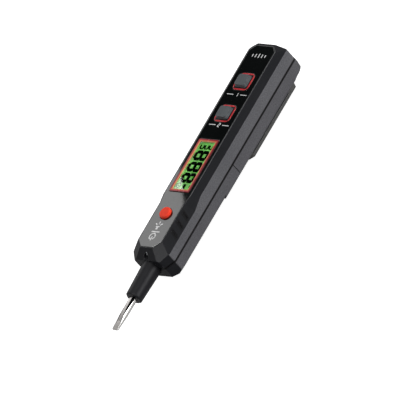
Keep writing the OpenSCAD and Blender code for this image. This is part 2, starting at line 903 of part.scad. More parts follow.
// Tray over the cells: a floor with side walls, rails for the cover and an end wall at each end
module battery_tray() {
    x0 = bay_x0 - tray_end_t;
    x1 = bay_x1 + tray_end_t;
    top = tray_z + tray_t;
    color([0.13, 0.13, 0.14]) union() {
        slab(x0, x1, -tray_out, tray_out, tray_z, top);
        for (s = [0, 1]) mirror([0, s, 0]) {
            slab(x0, x1, tray_out - tray_wall, tray_out, rail_z0, top);
            slab(bay_x0, x1, tray_out - tray_wall, tray_out + rail_out - fit, rail_z0, rail_z1);
        }
        slab(x0, bay_x0, -tray_end_half, tray_end_half, -tray_end_low, top);
        slab(bay_x1, x1, -tray_end_half, tray_end_half, -tray_far_low, top);
        for (x = [x0, bay_x1])
            slab(x, x + tray_end_t, -tray_out, tray_out, rail_z0, top);
    }
}

// Plate that joins the two cells at the tail
module tail_contact() {
    color([0.82, 0.82, 0.8]) slab(bay_x0, bay_x0 + plate_t, -cell_y - plate_w / 2, cell_y + plate_w / 2,
        cell_z - plate_h / 2 + plate_short, cell_z + plate_h / 2);
}

module inner_contacts() {
    color([0.82, 0.82, 0.8]) for (s = [-1, 1])
        slab(bay_x1 - plate_t, bay_x1, s * cell_y - plate_w / 2, s * cell_y + plate_w / 2,
            cell_z - plate_h / 2, cell_z + plate_h / 2);
}

// Cone springs: one wire swept along a helix that narrows toward the cell
spring_steps = 10;
spring_sides = 6;
spring_grow = spring_l - spring_wire - 2 * fit;
function spring_point(i, n) = let (t = i / n, a = 360 * spring_turns * t, r = spring_r1 + (spring_r2 - spring_r1) * t)
    [spring_wire / 2 + fit / 2 + spring_grow * t, r * cos(a), r * sin(a)];
function spring_ring(i, n) = let (p = spring_point(i, n), a = 360 * spring_turns * i / n)
    [for (k = [0 : spring_sides - 1]) let (b = 360 * k / spring_sides)
        p + spring_wire / 2 * [sin(b), cos(b) * cos(a), cos(b) * sin(a)]];
module coil_spring() {
    n = spring_turns * spring_steps;
    points = [for (i = [0 : n]) each spring_ring(i, n)];
    m = spring_sides;
    walls = [for (i = [0 : n - 1], k = [0 : m - 1]) each [
        [i * m + k, (i + 1) * m + k, i * m + (k + 1) % m],
        [(i + 1) * m + k, (i + 1) * m + (k + 1) % m, i * m + (k + 1) % m]]];
    ends = [[for (k = [0 : m - 1]) k], [for (k = [m - 1 : -1 : 0]) n * m + k]];
    polyhedron(points, concat(walls, ends));
}

module battery_springs() {
    color([0.8, 0.8, 0.78]) {
        translate([bay_x0 + plate_t, cell_y, cell_z]) coil_spring();
        translate([bay_x1 - plate_t, -cell_y, cell_z]) mirror([1, 0, 0]) coil_spring();
    }
}

module case_screws() {
    color([0.6, 0.6, 0.6]) at_bosses() difference() {
        union() {
            translate([0, 0, screw_seat]) cylinder(h = screw_l, d = screw_d);
            translate([0, 0, screw_seat - screw_head_t]) cylinder(h = screw_head_t, d = screw_head_d);
        }
        for (a = [0, 90]) translate([0, 0, screw_seat - screw_head_t]) rotate([0, 0, a])
            translate([-screw_slot_l / 2, -screw_slot / 2, -over])
                cube([screw_slot_l, screw_slot, over + screw_slot]);
    }
}

place() front_shell();
place() rear_shell();
place() battery_cover();
place() clip_base();
place() pocket_clip();
place() face_panel();
place() display_frame();
place() display_window();
place() lcd_glass();
place() backlight();
place() key_frames();
place() upper_key();
place() lower_key();
place() torch_button();
place() upper_key_plunger();
place() lower_key_plunger();
place() torch_plunger();
place() tact_switches();
place() circuit_board();
place() controller_chip();
place() small_components();
place() buzzer();
place() torch_led();
place() probe_blade();
place() probe_sleeve();
place() probe_contact();
place() sense_plate();
place() cell_left();
place() cell_right();
place() battery_tray();
place() tail_contact();
place() inner_contacts();
place() battery_springs();
place() case_screws();
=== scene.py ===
# Non-contact voltage tester: a slim pen with a screwdriver probe, display, keys and torch
import bpy
import math
from mathutils import Matrix, Vector


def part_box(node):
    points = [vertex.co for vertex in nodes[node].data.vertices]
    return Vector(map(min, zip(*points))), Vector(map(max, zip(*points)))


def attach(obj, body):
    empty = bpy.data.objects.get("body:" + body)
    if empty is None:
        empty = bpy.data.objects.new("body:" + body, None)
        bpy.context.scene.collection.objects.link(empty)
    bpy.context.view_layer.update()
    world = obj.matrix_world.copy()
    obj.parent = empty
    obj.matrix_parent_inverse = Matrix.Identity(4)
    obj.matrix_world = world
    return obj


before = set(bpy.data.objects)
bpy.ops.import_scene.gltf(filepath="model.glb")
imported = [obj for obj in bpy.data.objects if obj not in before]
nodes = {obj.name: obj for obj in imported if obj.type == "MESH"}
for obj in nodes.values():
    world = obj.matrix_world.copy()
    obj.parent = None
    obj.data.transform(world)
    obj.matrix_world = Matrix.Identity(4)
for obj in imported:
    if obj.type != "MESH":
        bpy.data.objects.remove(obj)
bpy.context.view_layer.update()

scene = bpy.context.scene

# Camera of the product shot: a long lens far off, so the pen's long edges stay parallel.
# It looks down on the face from the right side, rolled so that the tip points down to the left.
toward_camera = Vector((0.38125, 0.71544, 0.58548)).normalized()
picture_right = Vector((-0.46938, 0.69542, -0.54413)).normalized()
picture_up = toward_camera.cross(picture_right)
aim = Vector((0.00242, 0.00234, 0.01107))
bpy.ops.object.camera_add(location=aim + toward_camera * 0.9)
camera = bpy.context.object
camera.name = "product_camera"
camera.data.type = "ORTHO"
camera.data.ortho_scale = 0.18767
camera.data.clip_end = 10
camera.rotation_mode = "QUATERNION"
camera.rotation_quaternion = Matrix((picture_right, picture_up, toward_camera)).transposed().to_quaternion()
scene.camera = camera

# Studio: a white sweep under the pen, a broad soft lamp on the side that faces the camera,
# a strip lamp whose edge mirrors in the glossy panel, and a black flag for the rest of it.
scene.view_settings.view_transform = "Standard"
studio = bpy.data.worlds.new("studio")
scene.world = studio
studio.use_nodes = True
sky = studio.node_tree
sky.nodes.clear()
seen = sky.nodes.new("ShaderNodeLightPath")
either = sky.nodes.new("ShaderNodeMath")
either.operation = "MAXIMUM"
any_of = sky.nodes.new("ShaderNodeMath")
any_of.operation = "MAXIMUM"
dim = sky.nodes.new("ShaderNodeBackground")
dim.inputs["Color"].default_value = (1, 1, 1, 1)
dim.inputs["Strength"].default_value = 0.42
white = sky.nodes.new("ShaderNodeBackground")
white.inputs["Color"].default_value = (1, 1, 1, 1)
white.inputs["Strength"].default_value = 1
swap = sky.nodes.new("ShaderNodeMixShader")
out = sky.nodes.new("ShaderNodeOutputWorld")
sky.links.new(seen.outputs["Is Camera Ray"], either.inputs[0])
sky.links.new(seen.outputs["Is Glossy Ray"], either.inputs[1])
sky.links.new(either.outputs[0], any_of.inputs[0])
sky.links.new(seen.outputs["Is Transmission Ray"], any_of.inputs[1])
sky.links.new(any_of.outputs[0], swap.inputs[0])
sky.links.new(dim.outputs[0], swap.inputs[1])
sky.links.new(white.outputs[0], swap.inputs[2])
sky.links.new(swap.outputs[0], out.inputs[0])


def soft_lamp(name, at, look, wide, high, watts, turn=None):
    bpy.ops.object.light_add(type="AREA", location=at)
    lamp = bpy.context.object
    lamp.name = name
    lamp.data.shape = "RECTANGLE"
    lamp.data.size, lamp.data.size_y = wide, high
    lamp.data.energy = watts
    lamp.rotation_mode = "QUATERNION"
    lamp.rotation_quaternion = turn or (Vector(at) - look).to_track_quat("Z", "Y")
    lamp.visible_camera = False
    return lamp


soft_lamp("side_lamp", (-0.28, 0.75, 0.16), aim, 0.5, 0.4, 5.5)
soft_lamp("top_lamp", (-0.2, 0.15, 0.8), aim, 0.6, 0.6, 1.4)
nose_point = Vector((0.0415, 0.0065, 0.0195))
nose_lamp_at = nose_point + Vector((0.58, 0.245, 0.78)) * 0.35
nose_lamp = soft_lamp("nose_lamp", nose_lamp_at, nose_point, 0.12, 0.12, 1.6)
nose_lamp.visible_diffuse = False

face_point = Vector((0.0049, 0.001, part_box("face_panel")[1].z))
mirror_way = Vector((-toward_camera.x, -toward_camera.y, toward_camera.z))
glare_edge = Vector((0.776, 0.63, 0))
along_edge = (glare_edge - glare_edge.dot(mirror_way) * mirror_way).normalized()
to_tip = along_edge.cross(mirror_way).normalized()
if to_tip.x < 0:
    to_tip = -to_tip
strip_wide, strip_high, strip_off = 0.1, 0.16, 0.34
strip_at = face_point + mirror_way * strip_off + to_tip * strip_wide / 2
strip_turn = Matrix((to_tip, mirror_way.cross(to_tip), mirror_way)).transposed().to_quaternion()
soft_lamp("strip_lamp", strip_at, aim, strip_wide, strip_high, 0.15, strip_turn)

bpy.ops.mesh.primitive_plane_add(size=1, location=face_point + mirror_way * 0.4)
flag = bpy.context.object
flag.name = "black_flag"
flag.scale = (0.17, 0.11, 1)
flag.rotation_mode = "QUATERNION"
flag_long = (Vector((1, 0, 0)) - mirror_way.x * mirror_way).normalized()
flag_turn = Matrix((flag_long, mirror_way.cross(flag_long), mirror_way)).transposed()
flag.rotation_quaternion = flag_turn.to_quaternion()
bpy.ops.object.transform_apply(location=True, rotation=True, scale=True)
flag.visible_camera = False
flag.visible_diffuse = False
flag.visible_shadow = False
flag_cloth = bpy.data.materials.new("flag_cloth")
flag_cloth.use_nodes = True
weave = flag_cloth.node_tree.nodes["Principled BSDF"]
weave.inputs["Base Color"].default_value = (0.004, 0.004, 0.004, 1)
weave.inputs["Roughness"].default_value = 1
weave.inputs["Specular IOR Level"].default_value = 0
flag.data.materials.append(flag_cloth)

bpy.ops.mesh.primitive_plane_add(size=4, location=(0, 0, -0.0002))
floor = bpy.context.object
floor.name = "floor"
bpy.ops.object.transform_apply(location=True, rotation=True, scale=True)
paper = bpy.data.materials.new("white_paper")
paper.use_nodes = True
sheet = paper.node_tree
base = sheet.nodes["Principled BSDF"]
base.inputs["Base Color"].default_value = (0.82, 0.82, 0.82, 1)
base.inputs["Roughness"].default_value = 0.9
base.inputs["Specular IOR Level"].default_value = 0.1
path = sheet.nodes.new("ShaderNodeLightPath")
glow = sheet.nodes.new("ShaderNodeEmission")
glow.inputs["Strength"].default_value = 0.8
dark = sheet.nodes.new("ShaderNodeEmission")
dark.inputs["Strength"].default_value = 0
pick = sheet.nodes.new("ShaderNodeMixShader")
both = sheet.nodes.new("ShaderNodeAddShader")
sheet.links.new(path.outputs["Is Camera Ray"], pick.inputs[0])
sheet.links.new(dark.outputs[0], pick.inputs[1])
sheet.links.new(glow.outputs[0], pick.inputs[2])
sheet.links.new(base.outputs[0], both.inputs[0])
sheet.links.new(pick.outputs[0], both.inputs[1])
sheet.links.new(both.outputs[0], sheet.nodes["Material Output"].inputs[0])
floor.data.materials.append(paper)


# Case: front half, rear half and sliding battery cover, moulded in charcoal ABS.
# The sides carry a fine spark-eroded grain; the front facets and the nose come off polished steel and are
# smoother, and their colour is painted darker to stand in for shade. Corners are rubbed a little paler by hands
# and pockets.
def put(tree, kind, feeds=None, **ways):
    made = tree.nodes.new("ShaderNode" + kind)
    for key, value in ways.items():
        setattr(made, key, value)
    for key, value in (feeds or {}).items():
        if isinstance(value, bpy.types.NodeSocket):
            tree.links.new(value, made.inputs[key])
        else:
            made.inputs[key].default_value = value
    return made


def blend_colour(tree, share, low, high, way="MIX"):
    made = put(tree, "Mix", data_type="RGBA", blend_type=way)
    for socket, value in ((0, share), (6, low), (7, high)):
        if isinstance(value, bpy.types.NodeSocket):
            tree.links.new(value, made.inputs[socket])
        else:
            made.inputs[socket].default_value = value
    return made.outputs[2]


def spread(tree, value, low, high, to_low=0.0, to_high=1.0):
    return put(tree, "MapRange", {0: value, 1: low, 2: high, 3: to_low, 4: to_high}).outputs[0]


def open_group(name, asks, gives):
    group = bpy.data.node_groups.new(name, "ShaderNodeTree")
    for label, start in asks:
        group.interface.new_socket(label, in_out="INPUT", socket_type="NodeSocketFloat").default_value = start
    for label, kind in gives:
        group.interface.new_socket(label, in_out="OUTPUT", socket_type="NodeSocket" + kind)
    return group, group.nodes.new("NodeGroupInput"), group.nodes.new("NodeGroupOutput")


# Rounded corner of a moulding or casting, and how much of its edge is rubbed
soft_edge, asked, given = open_group("soft_edge", [("Radius", 0.0002), ("Breaks", 900)],
                                     [("Normal", "Vector"), ("Worn", "Float")])
rounded = put(soft_edge, "Bevel", {"Radius": asked.outputs["Radius"]}, samples=6)
flat = put(soft_edge, "NewGeometry")
match = put(soft_edge, "VectorMath", {0: rounded.outputs[0], 1: flat.outputs["True Normal"]},
            operation="DOT_PRODUCT")
bare = spread(soft_edge, match.outputs["Value"], 0.985, 0.86)
where = put(soft_edge, "TexCoord")
patch = put(soft_edge, "TexNoise", {"Vector": where.outputs["Object"],
                                    "Scale": asked.outputs["Breaks"], "Detail": 4})
broken = spread(soft_edge, patch.outputs[0], 0.42, 0.62)
worn = put(soft_edge, "Math", {0: bare, 1: broken}, operation="MULTIPLY")
soft_edge.links.new(rounded.outputs[0], given.inputs["Normal"])
soft_edge.links.new(worn.outputs[0], given.inputs["Worn"])

# Grain of a moulded surface: fine pits, slow drift in tone, and smears from handling
grain, asked, given = open_group("mould_grain", [("Fineness", 3200), ("Drift", 60)],
                                 [("Height", "Float"), ("Tone", "Float"), ("Smear", "Float")])
where = put(grain, "TexCoord")
pits = put(grain, "TexNoise", {"Vector": where.outputs["Object"], "Scale": asked.outputs["Fineness"],
                               "Detail": 3, "Roughness": 0.6})
drift = put(grain, "TexNoise", {"Vector": where.outputs["Object"],
                                "Scale": asked.outputs["Drift"], "Detail": 5})
stretched = put(grain, "Mapping", {"Vector": where.outputs["Object"], "Scale": (0.35, 1, 1)})
smear = put(grain, "TexNoise", {"Vector": stretched.outputs[0], "Scale": 160, "Detail": 6, "Distortion": 1.2})
grain.links.new(pits.outputs[0], given.inputs["Height"])
grain.links.new(spread(grain, drift.outputs[0], 0.3, 0.7), given.inputs["Tone"])
grain.links.new(spread(grain, smear.outputs[0], 0.35, 0.7), given.inputs["Smear"])


def group_in(tree, group, **feeds):
    made = tree.nodes.new("ShaderNodeGroup")
    made.node_tree = group
    for key, value in feeds.items():
        made.inputs[key].default_value = value
    return made


def moulded(name, low, high, rubbed, rough, edge=0.00018, pit=0.00002, fineness=3200, drift=60, gloss=0.5):
    """Moulded plastic: two tones that drift, rubbed edges, grain in the surface."""
    stuff = bpy.data.materials.new(name)
    stuff.use_nodes = True
    tree = stuff.node_tree
    skin = tree.nodes["Principled BSDF"]
    corner = group_in(tree, soft_edge, Radius=edge)
    pattern = group_in(tree, grain, Fineness=fineness, Drift=drift)
    tone = blend_colour(tree, pattern.outputs["Tone"], (*low, 1), (*high, 1))
    tree.links.new(blend_colour(tree, corner.outputs["Worn"], tone, (*rubbed, 1)), skin.inputs["Base Color"])
    polish = spread(tree, pattern.outputs["Smear"], 0, 1, rough[0], rough[1])
    tree.links.new(polish, skin.inputs["Roughness"])
    bump = put(tree, "Bump", {"Height": pattern.outputs["Height"], "Normal": corner.outputs["Normal"],
                              "Strength": 1, "Distance": pit})
    tree.links.new(bump.outputs[0], skin.inputs["Normal"])
    skin.inputs["Specular IOR Level"].default_value = gloss
    return stuff


def finish(material, *names):
    for name in names:
        for place in nodes[name].material_slots:
            place.material = material


# Places on the case: where the polished nose starts, the parting line, the ends of the face,
# and the three slanted finger grooves of each side
nose_start, parting_z = 0.0393, 0.0129
face_tail, face_thumb = -0.0795, 0.0084
groove_first, groove_pitch, groove_slope, groove_y = 0.018, 0.0054, 0.83, 0.0101


def case_finish(name, low, high, facets):
    """Case plastic: grained sides; smooth nose and facets with painted shade in their colour; rim of the face
    painted pale as a highlight; painted shade along the seams and finger grooves.
    """
    stuff = bpy.data.materials.new(name)
    stuff.use_nodes = True
    tree = stuff.node_tree
    skin = tree.nodes["Principled BSDF"]
    where = put(tree, "TexCoord")
    corner = group_in(tree, soft_edge, Radius=0.00022)
    pattern = group_in(tree, grain, Fineness=2600, Drift=45)
    side = put(tree, "SeparateXYZ", {0: where.outputs["Object"]})
    nose = spread(tree, side.outputs["X"], nose_start, nose_start + 0.0002)
    facing = put(tree, "SeparateXYZ", {0: where.outputs["Normal"]})
    front = spread(tree, facing.outputs["Z"], 0.25, 0.4) if facets else 0.0
    smooth_and_shaded = put(tree, "Math", {0: nose, 1: front}, operation="MAXIMUM").outputs[0]
    speck = put(tree, "TexNoise", {"Vector": where.outputs["Object"], "Scale": 1500, "Detail": 2})
    coarse = blend_colour(tree, pattern.outputs["Tone"], (*low, 1), (*high, 1))
    fleck = spread(tree, speck.outputs[0], 0.3, 0.7, 0.8, 1.2)
    coarse = blend_colour(tree, 1.0, coarse, fleck, "MULTIPLY")
    sheen = put(tree, "Mix", {0: smooth_and_shaded, 2: 0.22, 3: 0.08}).outputs[0]
    tree.links.new(sheen, skin.inputs["Specular IOR Level"])
    # Painted shade: the smooth facets and the nose take this much darker colour in place of the shade they fall
    # in
    dark = blend_colour(tree, pattern.outputs["Tone"], (0.0065, 0.007, 0.0085, 1), (0.0095, 0.01, 0.012, 1))
    tone = blend_colour(tree, smooth_and_shaded, coarse, dark)
    # Painted highlight: the front-facing rim round the panel is painted pale, standing in for the light line
    # its edge catches
    rim_painted_highlight = spread(tree, facing.outputs["Z"], 0.96, 0.99)
    for none, full in ((face_tail - 0.0001, face_tail + 0.0001), (face_thumb + 0.0001, face_thumb - 0.0001)):
        within = spread(tree, side.outputs["X"], none, full)
        rim_painted_highlight = put(tree, "Math", {0: rim_painted_highlight, 1: within}, operation="MULTIPLY").outputs[0]
    tone = blend_colour(tree, rim_painted_highlight, tone, (0.06, 0.061, 0.064, 1))
    tone = blend_colour(tree, corner.outputs["Worn"], tone, (0.15, 0.15, 0.16, 1))
    # Painted shade: along the parting line, and round the front's finger grooves, the colour is painted nearly
    # black in place of the shade in the seam and the recesses
    apart = put(tree, "Math", {0: side.outputs["Z"], 1: parting_z}, operation="SUBTRACT")
    apart = put(tree, "Math", {0: apart.outputs[0]}, operation="ABSOLUTE")
    seam_painted_shade = spread(tree, apart.outputs[0], 0.00075, 0.00048)
    if facets:
        beside = put(tree, "Math", {0: side.outputs["Y"]}, operation="ABSOLUTE").outputs[0]
        half = groove_pitch / 2
        lean = put(tree, "Math", {0: beside, 1: -groove_slope, 2: groove_y * groove_slope - groove_first},
                   operation="MULTIPLY_ADD")
        along = put(tree, "Math", {0: side.outputs["X"], 1: lean.outputs[0]}, operation="ADD").outputs[0]
        turn = put(tree, "Math", {0: along, 1: half, 2: -half}, operation="WRAP")
        off = put(tree, "Math", {0: turn.outputs[0]}, operation="ABSOLUTE")
        groove = spread(tree, off.outputs[0], 0.0017, 0.0008)
        for value, none, full in ((along, -half, 0.0001 - half), (along, 5 * half, 5 * half - 0.0001),
                                  (beside, 0.0084, 0.009), (beside, 0.0118, 0.0112)):
            within = spread(tree, value, none, full)
            groove = put(tree, "Math", {0: groove, 1: within}, operation="MULTIPLY").outputs[0]
        seam_painted_shade = put(tree, "Math", {0: seam_painted_shade, 1: groove}, operation="MAXIMUM").outputs[0]
    tree.links.new(blend_colour(tree, seam_painted_shade, tone, (0.0025, 0.0025, 0.003, 1)), skin.inputs["Base Color"])
    dull = spread(tree, pattern.outputs["Smear"], 0, 1, 0.62, 0.74)
    shiny = spread(tree, pattern.outputs["Smear"], 0, 1, 0.36, 0.46)
    rough = put(tree, "Mix", {0: smooth_and_shaded, 2: dull, 3: shiny}).outputs[0]
    tree.links.new(rough, skin.inputs["Roughness"])
    depth = put(tree, "Mix", {0: smooth_and_shaded, 2: 1.0, 3: 0.18}).outputs[0]
    height = put(tree, "Math", {0: pattern.outputs["Height"], 1: depth}, operation="MULTIPLY")
    bump = put(tree, "Bump", {"Height": height.outputs[0], "Normal": corner.outputs["Normal"],
                              "Strength": 1, "Distance": 0.00006})
    tree.links.new(bump.outputs[0], skin.inputs["Normal"])
    return stuff


finish(case_finish("case_front", (0.068, 0.068, 0.075), (0.084, 0.084, 0.091), True), "front_shell")
finish(case_finish("case_rear", (0.057, 0.056, 0.062), (0.07, 0.069, 0.076), False),
       "rear_shell", "battery_cover")


# Pocket clip: a foot moulded on the cover and a springy arm of darker, tougher nylon.
# The arm is rubbed along its edges where it slides over a pocket hem.
finish(moulded("clip_nylon", (0.045, 0.045, 0.044), (0.06, 0.06, 0.058), (0.16, 0.16, 0.155), (0.42, 0.55),
               edge=0.0003, pit=0.00002, fineness=2400), "clip_base", "pocket_clip")


# Face panel: one sheet of black acrylic, cut to shape and glued into the front.
# It is mirror bright, with the faintest wipe marks and a few specks of dust.
panel_stuff = bpy.data.materials.new("panel_acrylic")
panel_stuff.use_nodes = True
tree = panel_stuff.node_tree
skin = tree.nodes["Principled BSDF"]
corner = group_in(tree, soft_edge, Radius=0.0005)
pattern = group_in(tree, grain, Fineness=300, Drift=25)
where = put(tree, "TexCoord")
speck = put(tree, "TexVoronoi", {"Vector": where.outputs["Object"], "Scale": 420})
dust = spread(tree, speck.outputs["Distance"], 0.06, 0.03)
tone = blend_colour(tree, pattern.outputs["Tone"], (0.0035, 0.0045, 0.0045, 1), (0.006, 0.007, 0.007, 1))
edge_tone = blend_colour(tree, corner.outputs["Worn"], tone, (0.03, 0.033, 0.033, 1))
tree.links.new(blend_colour(tree, dust, edge_tone, (0.05, 0.05, 0.05, 1)), skin.inputs["Base Color"])
tree.links.new(spread(tree, pattern.outputs["Smear"], 0, 1, 0.02, 0.06), skin.inputs["Roughness"])
tree.links.new(corner.outputs["Normal"], skin.inputs["Normal"])
finish(panel_stuff, "face_panel")


# Display: red bezel, clear cover, glass with green light behind it and a white light guide.
# The bezel is let into the panel; its inner edge catches the light of the glass.
bezel_low, bezel_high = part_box("display_frame")
bezel_mid = (bezel_low + bezel_high) / 2
bezel_stuff = bpy.data.materials.new("bezel_red")
bezel_stuff.use_nodes = True
tree = bezel_stuff.node_tree
skin = tree.nodes["Principled BSDF"]
corner = group_in(tree, soft_edge, Radius=0.00015)
pattern = group_in(tree, grain, Fineness=1800, Drift=90)
where = put(tree, "TexCoord")
shift = put(tree, "VectorMath", {0: where.outputs["Object"], 1: bezel_mid}, operation="SUBTRACT")
sides = put(tree, "VectorMath", {0: shift.outputs[0]}, operation="ABSOLUTE")
reach = put(tree, "VectorMath", {0: sides.outputs[0], 1: (bezel_high - bezel_low) / 2}, operation="SUBTRACT")
apart = put(tree, "SeparateXYZ", {0: reach.outputs[0]})
inward = put(tree, "Math", {0: apart.outputs["X"], 1: apart.outputs["Y"]}, operation="MAXIMUM")
lit = spread(tree, inward.outputs[0], -0.00075, -0.0014)
shade = spread(tree, inward.outputs[0], -0.0008, -0.0001)
tone = blend_colour(tree, pattern.outputs["Tone"], (0.42, 0.014, 0.02, 1), (0.52, 0.025, 0.03, 1))
tone = blend_colour(tree, lit, tone, (0.68, 0.25, 0.1, 1))
tone = blend_colour(tree, shade, tone, (0.11, 0.004, 0.007, 1))
skin.inputs["Specular IOR Level"].default_value = 0.25
tree.links.new(tone, skin.inputs["Base Color"])
tree.links.new(spread(tree, pattern.outputs["Smear"], 0, 1, 0.2, 0.3), skin.inputs["Roughness"])
tree.links.new(corner.outputs["Normal"], skin.inputs["Normal"])
finish(bezel_stuff, "display_frame")

window_stuff = bpy.data.materials.new("window_acrylic")
window_stuff.use_nodes = True
tree = window_stuff.node_tree
skin = tree.nodes["Principled BSDF"]
pattern = group_in(tree, grain, Fineness=300, Drift=30)
tone = blend_colour(tree, pattern.outputs["Tone"], (0.94, 0.99, 0.95, 1), (1, 1, 1, 1))
tree.links.new(tone, skin.inputs["Base Color"])
tree.links.new(spread(tree, pattern.outputs["Smear"], 0, 1, 0.0, 0.02), skin.inputs["Roughness"])
skin.inputs["Transmission Weight"].default_value = 1
skin.inputs["IOR"].default_value = 1.49
finish(window_stuff, "display_window")

glass_stuff = bpy.data.materials.new("display_glass")
glass_stuff.use_nodes = True
tree = glass_stuff.node_tree
skin = tree.nodes["Principled BSDF"]
pattern = group_in(tree, grain, Fineness=2000, Drift=140)
where = put(tree, "TexCoord")
shift = put(tree, "VectorMath", {0: where.outputs["Object"], 1: bezel_mid}, operation="SUBTRACT")
uneven = put(tree, "TexNoise", {"Vector": shift.outputs[0], "Scale": 110, "Detail": 2})
patches = spread(tree, uneven.outputs[0], 0.35, 0.65)
lit_tone = blend_colour(tree, patches, (0.045, 0.26, 0.02, 1), (0.1, 0.37, 0.055, 1))
paler = spread(tree, pattern.outputs["Tone"], 0, 1, 0.0, 0.3)
lit_tone = blend_colour(tree, paler, lit_tone, (0.18, 0.38, 0.09, 1))
tree.links.new(lit_tone, skin.inputs["Base Color"])
tree.links.new(lit_tone, skin.inputs["Emission Color"])
skin.inputs["Emission Strength"].default_value = 0.4
tree.links.new(spread(tree, pattern.outputs["Smear"], 0, 1, 0.25, 0.35), skin.inputs["Roughness"])
finish(glass_stuff, "lcd_glass")
finish(moulded("light_guide", (0.75, 0.8, 0.74), (0.86, 0.9, 0.85), (0.92, 0.94, 0.92), (0.25, 0.35),
               gloss=0.4), "backlight")


# Segments of the display: dark figures etched in the glass, read with the tip to the left.
# They are thin bars with pointed ends: three full figures with dots, a short bar and a ring before
# them, and small plain symbols after them.
def lay_flat(piece, name, body, material):
    """Puts a finished piece's place in its mesh and tells what it rides on and is made of."""
    piece.name = name
    piece.data.name = name
    bpy.ops.object.select_all(action="DESELECT")
    piece.select_set(True)
    bpy.context.view_layer.objects.active = piece
    bpy.ops.object.transform_apply(location=True, rotation=True, scale=True)
    piece.data.materials.clear()
    piece.data.materials.append(material)
    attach(piece, body)
    return piece


def gather(pieces):
    """Makes one piece of several, and returns it."""
    bpy.ops.object.select_all(action="DESELECT")
    for piece in pieces:
        piece.select_set(True)
    bpy.context.view_layer.objects.active = pieces[0]
    bpy.ops.object.join()
    return bpy.context.object


def printed_bar(x, y, z, long, wide, thick, turn=0.0, point=0.5):
    """Thin bar with pointed or blunt ends, its long way turned from X by turn degrees."""
    bpy.ops.mesh.primitive_circle_add(vertices=8, radius=wide / 2, fill_type="NGON")
    bar = bpy.context.object
    for corner in bar.data.vertices:
        side_of = 1 if corner.co.x > 0 else -1
        blunt = abs(corner.co.y) < wide / 4
        if abs(corner.co.x) < wide / 8:
            corner.co.x = 0
        else:
            corner.co.x = side_of * (long / 2 - (0 if blunt else wide * point / 2))
            corner.co.y = corner.co.y if blunt else math.copysign(wide / 2, corner.co.y)
    bpy.ops.object.mode_set(mode="EDIT")
    bpy.ops.mesh.select_all(action="SELECT")
    bpy.ops.mesh.extrude_region_move(TRANSFORM_OT_translate={"value": (0, 0, thick)})
    bpy.ops.mesh.select_all(action="SELECT")
    bpy.ops.mesh.normals_make_consistent(inside=False)
    bpy.ops.object.mode_set(mode="OBJECT")
    bar.rotation_euler = (0, 0, math.radians(turn))
    bar.location = (x, y, z)
    bpy.ops.object.transform_apply(location=True, rotation=True, scale=True)
    return bar


ink = moulded("segment_ink", (0.0006, 0.0014, 0.0006), (0.001, 0.0024, 0.001), (0.002, 0.004, 0.002),
              (0.6, 0.7), pit=0.000001, gloss=0)
ink_z, ink_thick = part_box("lcd_glass")[1].z + 0.00001, 0.00005


def figure(x, y, z, up, tall, wide, stroke, thick, lit="abcdefg"):
    """Seven-segment figure of bars; up is the way in which its top points."""
    right = Vector((up.y, -up.x))
    spots = {"a": (0, 1, 1), "g": (0, 0, 1), "d": (0, -1, 1), "f": (-1, 0.5, 0), "b": (1, 0.5, 0),
             "e": (-1, -0.5, 0), "c": (1, -0.5, 0)}
    bars = []
    for key in lit:
        aside, above, across = spots[key]
        at = Vector((x, y)) + right * aside * wide / 2 + up * above * tall / 2
        way, long = (right, wide) if across else (up, tall / 2)
        bars.append(printed_bar(at.x, at.y, z, long * 0.98, stroke, thick * (1 + across * 0.3),
                                math.degrees(math.atan2(way.y, way.x))))
    return bars


def ring(x, y, z, radius, stroke, thick, first=0, last=12, steps=12):
    """Ring, or part of one, of short bars set end to end."""
    bars = []
    long = 2.3 * radius * math.sin(math.pi / steps) + stroke * 0.3
    for step in range(first, last):
        angle = 2 * math.pi * (step + 0.5) / steps
        bars.append(printed_bar(x + radius * math.cos(angle), y + radius * math.sin(angle), z, long, stroke,
                                thick * (1 + step % 2 * 0.3), math.degrees(angle) + 90, 0.2))
    return bars


mid_x, mid_y = bezel_mid.x, bezel_mid.y
read_up = Vector((0, -1))
figure_tall, figure_wide, figure_stroke = 0.0077, 0.004, 0.0019
segments = []
for step in (-0.00625, 0.0003, 0.0068):
    segments += figure(mid_x + step, mid_y + 0.0001, ink_z, read_up,
                       figure_tall, figure_wide, figure_stroke, ink_thick)
segments.append(printed_bar(mid_x + 0.0119, mid_y + 0.0006, ink_z, 0.003, 0.0018, ink_thick, 0, 0.2))
ring_x, ring_y = mid_x + 0.0114, mid_y - 0.0033
segments += ring(ring_x, ring_y, ink_z, 0.0013, 0.0005, ink_thick)
segments.append(printed_bar(ring_x, ring_y, ink_z, 0.0012, 0.0005, ink_thick * 1.6, 60))
for step in (-0.0031, 0.0034):
    segments.append(printed_bar(mid_x + step, mid_y + 0.0047, ink_z, 0.0009, 0.0009, ink_thick))
for step in (-0.0026, 0.0004, 0.0034):
    segments += figure(mid_x - 0.0114, mid_y + step, ink_z, read_up, 0.0021, 0.0022, 0.0009, ink_thick, "adfe")
segments.append(printed_bar(mid_x + 0.0115, mid_y + 0.0042, ink_z, 0.0016, 0.0009, ink_thick))
lay_flat(gather(segments), "display_figures", "case", ink)


